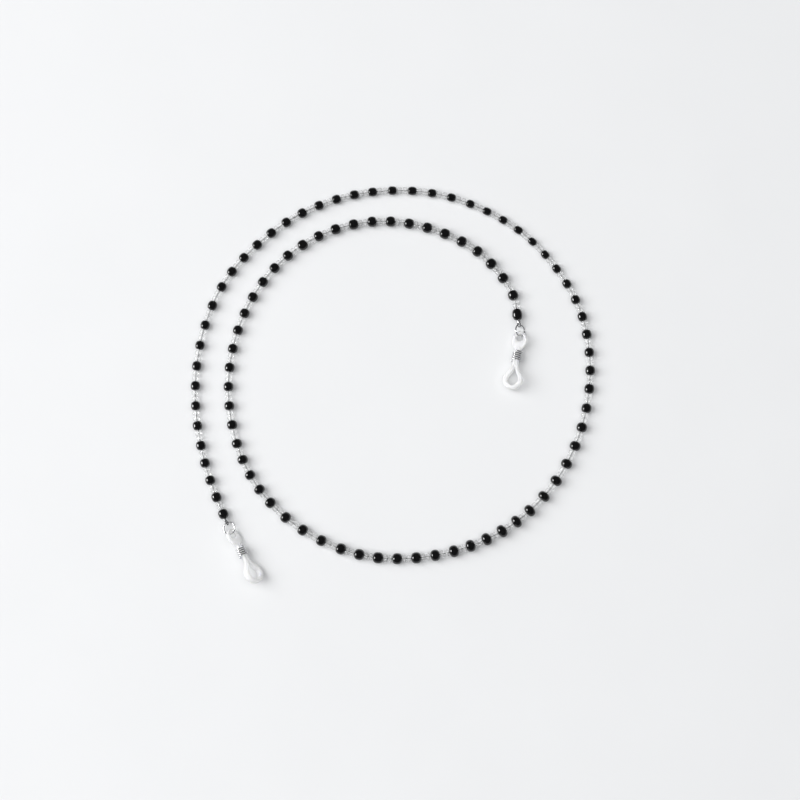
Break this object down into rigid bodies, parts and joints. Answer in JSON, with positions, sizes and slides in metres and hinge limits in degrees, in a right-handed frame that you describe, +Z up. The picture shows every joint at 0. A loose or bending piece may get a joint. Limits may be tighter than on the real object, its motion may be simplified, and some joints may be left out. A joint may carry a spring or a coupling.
{
  "type": "eyeglass retainer strap",
  "caption": "Beaded eyeglass chain in a loose spiral: black and clear glass beads on a wire, with a jump ring, silicone temple loop and coil slider at each end.",
  "frame": {"origin": "middle of the footprint, on the surface that the strand lies on", "axes": "+Z up from the surface; the spiral's inner end points towards -Y and the outer end lies at -X, -Y"},
  "size_m": [0.1616, 0.162, 0.0075],
  "materials": {
    "black_glass": "polished, opaque black glass",
    "clear_glass": "polished, clear glass",
    "wire": "thin grey coated beading wire",
    "steel": "bright plated steel, gunmetal tone",
    "silicone": "translucent milky silicone, soft sheen"
  },
  "bodies": {
    "strand": {"beading_wire": "wire", "bead_run_01": "black_glass", "bead_run_02": "black_glass", "bead_run_03": "black_glass", "bead_run_04": "black_glass", "bead_run_05": "black_glass", "bead_run_06": "black_glass", "bead_run_07": "black_glass", "bead_run_08": "black_glass", "bead_run_09": "black_glass", "bead_run_10": "black_glass", "bead_run_11": "black_glass", "bead_run_12": "black_glass", "bead_run_13": "black_glass", "bead_run_14": "black_glass", "bead_run_15": "black_glass", "bead_run_16": "black_glass", "bead_run_17": "black_glass", "bead_run_18": "black_glass", "bead_run_19": "black_glass", "bead_run_20": "black_glass", "bead_run_21": "black_glass", "bead_run_22": "black_glass", "bead_run_23": "black_glass", "bead_run_24": "black_glass", "bead_run_25": "black_glass", "bead_run_26": "black_glass", "bead_run_27": "black_glass", "bead_run_28": "black_glass", "bead_run_29": "black_glass", "bead_run_30": "black_glass", "crimp_bead_outer": "steel", "crimp_bead_inner": "steel"},
    "ring_outer": {"jump_ring_outer": "steel"},
    "grip_outer": {"temple_grip_outer": "silicone"},
    "slider_outer": {"coil_slider_outer": "steel"},
    "black_bead_end_outer": {"black_bead_end_outer": "black_glass"},
    "clear_bead_a_outer": {"clear_bead_a_outer": "clear_glass"},
    "clear_bead_b_outer": {"clear_bead_b_outer": "clear_glass"},
    "black_bead_next_outer": {"black_bead_next_outer": "black_glass"},
    "ring_inner": {"jump_ring_inner": "steel"},
    "grip_inner": {"temple_grip_inner": "silicone"},
    "slider_inner": {"coil_slider_inner": "steel"},
    "black_bead_end_inner": {"black_bead_end_inner": "black_glass"},
    "clear_bead_a_inner": {"clear_bead_a_inner": "clear_glass"},
    "clear_bead_b_inner": {"clear_bead_b_inner": "clear_glass"},
    "black_bead_next_inner": {"black_bead_next_inner": "black_glass"}
  },
  "joints": [
    {"name": "ring_swivel_outer", "type": "hinge", "parent": "strand", "child": "ring_outer", "pos_m": [-0.0658, -0.05666, 0.00204], "axis": [-0.35, -0.0508, 0.9354], "range_deg": [-25, 25]},
    {"name": "grip_swing_outer", "type": "hinge", "parent": "ring_outer", "child": "grip_outer", "pos_m": [-0.06372, -0.06094, 0.00258], "axis": [0.8068, 0.4911, 0.3286], "range_deg": [-80, 80]},
    {"name": "slider_slide_outer", "type": "slide", "parent": "grip_outer", "child": "slider_outer", "axis": [0.4837, -0.8727, 0.0663], "range_m": [0, 0.0018]},
    {"name": "black_bead_end_spin_outer", "type": "hinge", "parent": "strand", "child": "black_bead_end_outer", "pos_m": [-0.06729, -0.05316, 0.00204], "axis": [-0.3971, 0.9178, -0.0012], "continuous": true},
    {"name": "clear_bead_a_spin_outer", "type": "hinge", "parent": "strand", "child": "clear_bead_a_outer", "pos_m": [-0.0684, -0.05058, 0.00203], "axis": [-0.3969, 0.9178, -0.0025], "continuous": true},
    {"name": "clear_bead_b_spin_outer", "type": "hinge", "parent": "strand", "child": "clear_bead_b_outer", "pos_m": [-0.06904, -0.0491, 0.00203], "axis": [-0.39, 0.9208, -0.0025], "continuous": true},
    {"name": "black_bead_next_spin_outer", "type": "hinge", "parent": "strand", "child": "black_bead_next_outer", "pos_m": [-0.07011, -0.0465, 0.00202], "axis": [-0.3684, 0.9297, -0.0025], "continuous": true},
    {"name": "ring_swivel_inner", "type": "hinge", "parent": "strand", "child": "ring_inner", "pos_m": [0.05031, 0.02323, 0.00204], "axis": [0.6528, 0.0753, 0.7538], "range_deg": [-25, 25]},
    {"name": "grip_swing_inner", "type": "hinge", "parent": "ring_inner", "child": "grip_inner", "pos_m": [0.05074, 0.01847, 0.00214], "axis": [0.7575, -0.0481, -0.6511], "range_deg": [-80, 80]},
    {"name": "slider_slide_inner", "type": "slide", "parent": "grip_inner", "child": "slider_inner", "axis": [-0.1735, -0.9841, 0.0384], "range_m": [0, 0.0018]},
    {"name": "black_bead_end_spin_inner", "type": "hinge", "parent": "strand", "child": "black_bead_end_inner", "pos_m": [0.04963, 0.02742, 0.00204], "axis": [0.1272, -0.9919, -0.0044], "continuous": true},
    {"name": "clear_bead_a_spin_inner", "type": "hinge", "parent": "strand", "child": "clear_bead_a_inner", "pos_m": [0.0492, 0.03074, 0.00207], "axis": [0.1477, -0.989, -0.0087], "continuous": true},
    {"name": "clear_bead_b_spin_inner", "type": "hinge", "parent": "strand", "child": "clear_bead_b_inner", "pos_m": [0.04889, 0.0325, 0.00209], "axis": [0.2068, -0.9783, -0.0087], "continuous": true},
    {"name": "black_bead_next_spin_inner", "type": "hinge", "parent": "strand", "child": "black_bead_next_inner", "pos_m": [0.04805, 0.03538, 0.00211], "axis": [0.3644, -0.9312, -0.0087], "continuous": true}
  ]
}
